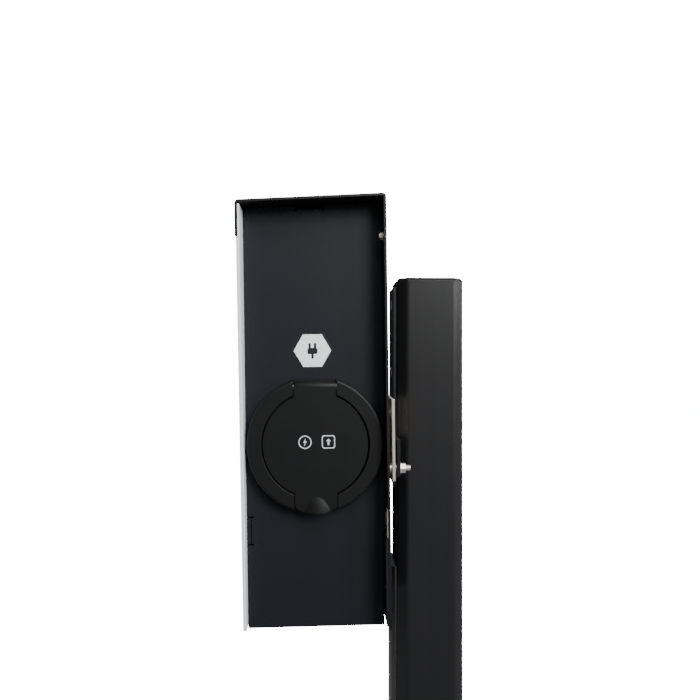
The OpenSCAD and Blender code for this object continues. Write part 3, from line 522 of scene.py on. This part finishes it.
def hex_ring(work, place, reach, height, sides):
    """A ring of points on the outline of a hexagon whose flats lie at reach from the axis."""
    wedge = math.radians(60)
    points = []
    for x, y in circle(1, sides=sides):
        off_flat = (math.atan2(y, x) + wedge / 2) % wedge - wedge / 2
        far = reach / math.cos(off_flat)
        points.append(work.verts.new(place @ Vector((x * far, y * far, height))))
    return points


def hex_button_screw(work, place, head_r, height, shank_r, shank):
    """Button head with a hexagon recess in its crown, and a short shank."""
    recess = head_r * 0.42
    crown = recess * 1.25
    depth = height * 0.55
    sides = 48
    steps = 6
    dome_end = math.radians(62)
    dome = [(head_r * math.cos(dome_end * i / steps), height * math.sin(dome_end * i / steps))
            for i in range(1, steps + 1)]
    top = dome[-1][1]
    profile = [(0, -shank), (shank_r, -shank), (shank_r, 0), (head_r, 0), *dome, (crown, top)]
    rings = [turned_ring(work, place, radius, z, sides) for radius, z in profile]
    rings += [hex_ring(work, place, recess, z, sides) for z in (top, top - depth)]
    rings.append(turned_ring(work, place, 0, top - depth, sides))
    join_rings(work, rings, sides)


def solid_boxes(node):
    """Corners of each separate solid of a CAD node."""
    work = bmesh.new()
    work.from_mesh(nodes[node].data)
    bmesh.ops.remove_doubles(work, verts=work.verts, dist=1e-6)
    left = set(work.verts)
    boxes = []
    while left:
        stack = [left.pop()]
        points = []
        while stack:
            vert = stack.pop()
            points.append(vert.co.copy())
            for edge in vert.link_edges:
                other = edge.other_vert(vert)
                if other in left:
                    left.remove(other)
                    stack.append(other)
        low = Vector((min(p[i] for p in points) for i in range(3)))
        high = Vector((max(p[i] for p in points) for i in range(3)))
        boxes.append((low, high))
    work.free()
    return sorted(boxes, key=lambda b: (round(b[0].z, 4), round(b[0].y, 4), round(b[0].x, 4)))


def spigot_screws():
    """Button-head screws with recesses where the CAD has plain ones."""
    work = bmesh.new()
    post_low, post_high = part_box("post_profile")
    for low, high in solid_boxes("spigot_screws"):
        centre = (low + high) / 2
        side = -1 if centre.y < 0 else 1
        face = post_low.y if side < 0 else post_high.y
        head_r = (high.z - low.z) / 2
        head_height = head_r * 0.62
        shank_r = head_r * 0.56
        shank = abs(face) - min(abs(low.y), abs(high.y))
        turn = Vector((0, side, 0)).to_track_quat("Z", "Y").to_matrix().to_4x4()
        place = Matrix.Translation((centre.x, face, centre.z)) @ turn
        hex_button_screw(work, place, head_r, head_height, shank_r, shank)
    mesh = finish_mesh("spigot_button_screws", work)
    screws = keep_piece("spigot_button_screws", mesh, "stainless", "post")
    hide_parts("spigot_screws")


spigot_screws()


# ---------- details of the socket that show when the lid is up ----------

# Where the contacts lie in the insert, the bores of their collars, and the collars' walls
POWER_PITCH_R = 14 * MM
POWER_ANGLES = [math.radians(a) for a in (0, 180, 236, 304)]
POWER_AT = [(POWER_PITCH_R * math.cos(a), POWER_PITCH_R * math.sin(a)) for a in POWER_ANGLES] + [(0, 0)]
PILOT_AT = [(-7 * MM, 10.5 * MM), (7 * MM, 10.5 * MM)]
COLLARS = [(POWER_AT, 3.95 * MM, 0.8 * MM), (PILOT_AT, 2.55 * MM, 0.7 * MM)]
COLLAR_ROOT = -0.2 * MM
COLLAR_TOP = 0.6 * MM
# Ribs behind the lid: a hub ring and spokes out to the moulded ring
HUB_R = 9 * MM
HUB_WALL = 1.2 * MM
HUB_DEEP = 2.1 * MM
HUB_BEVEL = (0.15 * MM, 0.2 * MM)
SPOKES = 8
SPOKE_FROM = 10.1 * MM
SPOKE_TO = 20.5 * MM
SPOKE_HALF = 0.55 * MM
SPOKE_DEEP = 1.7 * MM
ROOT = 0.1 * MM


def contact_collars():
    """Raised moulded collars round the contact holes."""
    work = bmesh.new()
    for points, bore, wall in COLLARS:
        outer = bore + wall
        profile = [
            (outer, COLLAR_ROOT), (outer, 0.35 * MM), (outer - 0.25 * MM, COLLAR_TOP),
            (bore + 0.15 * MM, COLLAR_TOP), (bore, 0.45 * MM), (bore, COLLAR_ROOT), (outer, COLLAR_ROOT)]
        for u, v in points:
            lathe(work, profile, socket_place(u, v, ISLAND_FACE), 40)
    bmesh.ops.remove_doubles(work, verts=work.verts, dist=1e-8)
    keep_piece("contact_collars", finish_mesh("contact_collars", work), "insert_plastic", "post")


def spoke(work, place):
    """A rib that stands on the back of the lid and runs outwards along x."""
    corners = [(SPOKE_FROM, -SPOKE_HALF), (SPOKE_TO, -SPOKE_HALF),
               (SPOKE_TO, SPOKE_HALF), (SPOKE_FROM, SPOKE_HALF)]
    low, high = [[work.verts.new(place @ Vector((x, y, z))) for x, y in corners]
                 for z in (-SPOKE_DEEP, ROOT)]
    work.faces.new(low)
    work.faces.new(high[::-1])
    for i in range(4):
        j = (i + 1) % 4
        work.faces.new([low[i], high[i], high[j], low[j]])


def lid_ribs():
    """A hub ring and spokes that reach the moulded ring on the back of the lid."""
    work = bmesh.new()
    back = socket_place(0, 0, LID_BACK)
    outer = HUB_R + HUB_WALL
    side, rise = HUB_BEVEL
    profile = [
        (HUB_R, ROOT), (HUB_R, rise - HUB_DEEP), (HUB_R + side, -HUB_DEEP), (outer - side, -HUB_DEEP),
        (outer, rise - HUB_DEEP), (outer, ROOT), (HUB_R, ROOT)]
    lathe(work, profile, back, 72)
    for k in range(SPOKES):
        spoke(work, back @ Matrix.Rotation((k + 0.5) * math.tau / SPOKES, 4, "Z"))
    bmesh.ops.remove_doubles(work, verts=work.verts, dist=1e-8)
    keep_piece("lid_ribs", finish_mesh("lid_ribs", work), "socket_plastic", "lid")


contact_collars()
lid_ribs()


# ---------- rounded edges on the shells and mouldings ----------

# Width of the rounding in millimetres, and the nodes that have it
EDGE_WIDTHS = {
    0.12: ["label_plate"],
    0.15: ["socket_side_panel", "plain_side_panel"],
    0.2: ["post_cap", "hanger_nuts"],
    0.25: ["hood_shell", "channel_cover"],
    0.3: ["socket_flange", "front_sheet", "front_fascia", "post_bracket", "hanger_plate"],
    0.35: ["socket_lid"],
    0.6: ["base_plate", "rest_buffers"],
}
for width, softened in EDGE_WIDTHS.items():
    for node in softened:
        soften(node, width * MM)


# ---------- floor, light and camera ----------

# Strength of the white surround as the camera sees it, and as light on the object
WHITE_LEVEL = 16.0
AMBIENT_LEVEL = 0.22
# The rings of the floor's mesh, in metres from the post
FLOOR_RINGS = (0.3, 0.6, 0.9, 1.3, 1.8, 2.4, 3.0)
FLOOR_SIDES = 96
# The floor is plain paper up to the first distance, and as white as the surround past the second
FADE_FROM = 0.25
FADE_TO = 1.25
# The camera that matches the photo: lens in millimetres, place in metres, angles in degrees
LENS = 33.17
CAMERA_AT = (-0.0899, -0.6018, 1.0347)
CAMERA_TILT = 90.06
CAMERA_TURN = -1.75


def studio():
    """A round pale floor that fades into the white surround; it throws no light back on the post."""
    work = bmesh.new()
    rings = [turned_ring(work, Matrix.Identity(4), radius, 0, FLOOR_SIDES) for radius in (0, *FLOOR_RINGS)]
    join_rings(work, rings, FLOOR_SIDES)
    mesh = bpy.data.meshes.new("floor")
    work.to_mesh(mesh)
    work.free()
    floor = bpy.data.objects.new("floor", mesh)
    bpy.context.scene.collection.objects.link(floor)
    floor.visible_diffuse = False
    floor.visible_glossy = False
    material = powder("floor_paper", (0.86, 0.86, 0.87), 0.9, 30, 0.0, 0.004)
    tree = material.node_tree
    coords = tree.nodes.new("ShaderNodeTexCoord")
    distance = tree.nodes.new("ShaderNodeVectorMath")
    distance.operation = "LENGTH"
    fade = tree.nodes.new("ShaderNodeMapRange")
    fade.interpolation_type = "SMOOTHSTEP"
    fade.inputs["From Min"].default_value = FADE_FROM
    fade.inputs["From Max"].default_value = FADE_TO
    fade.inputs["To Max"].default_value = WHITE_LEVEL
    bsdf = tree.nodes["Principled BSDF"]
    bsdf.inputs["Emission Color"].default_value = (1, 1, 1, 1)
    tree.links.new(coords.outputs["Object"], distance.inputs[0])
    tree.links.new(distance.outputs["Value"], fade.inputs["Value"])
    tree.links.new(fade.outputs["Result"], bsdf.inputs["Emission Strength"])
    floor.data.materials.append(material)


def area_light(name, at, aim, size, power):
    """A square light of a size in metres and a power in watts, aimed at a point."""
    data = bpy.data.lights.new(name, "AREA")
    data.shape = "SQUARE"
    data.size = size
    data.energy = power
    light = bpy.data.objects.new(name, data)
    light.location = at
    light.rotation_euler = (Vector(aim) - Vector(at)).to_track_quat("-Z", "Y").to_euler()
    bpy.context.scene.collection.objects.link(light)


def world(level, seen):
    """An even white surround; the camera sees it at full white."""
    scene_world = bpy.data.worlds.new("studio")
    bpy.context.scene.world = scene_world
    scene_world.use_nodes = True
    tree = scene_world.node_tree
    background = tree.nodes["Background"]
    background.inputs["Color"].default_value = (1, 1, 1, 1)
    paths = tree.nodes.new("ShaderNodeLightPath")
    mix = tree.nodes.new("ShaderNodeMapRange")
    mix.inputs["To Min"].default_value = level
    mix.inputs["To Max"].default_value = seen
    tree.links.new(paths.outputs["Is Camera Ray"], mix.inputs["Value"])
    tree.links.new(mix.outputs["Result"], background.inputs["Strength"])


def photo_camera():
    data = bpy.data.cameras.new("photo_camera")
    data.sensor_width = 36.0
    data.lens = LENS
    data.clip_start = 0.01
    camera = bpy.data.objects.new("photo_camera", data)
    camera.location = CAMERA_AT
    camera.rotation_euler = (math.radians(CAMERA_TILT), 0, math.radians(CAMERA_TURN))
    bpy.context.scene.collection.objects.link(camera)
    bpy.context.scene.camera = camera


studio()
world(AMBIENT_LEVEL, WHITE_LEVEL)
area_light("key_right", (1.0, -1.85, 2.0), (-0.05, 0, 1.05), 0.9, 62)
area_light("edge_right", (1.9, -1.35, 1.5), (0, 0, 1.0), 0.3, 14)
area_light("rim_right", (2.2, -0.1, 1.7), (0, 0, 1.1), 0.8, 24)
area_light("side_left", (-1.9, 1.1, 1.5), (-0.15, 0, 0.95), 1.0, 95)
area_light("top_front", (0.25, -1.1, 2.2), (0, 0, 1.1), 0.8, 14)
area_light("back_fill", (0.6, 2.2, 2.2), (0, 0, 0.9), 1.6, 12)
photo_camera()
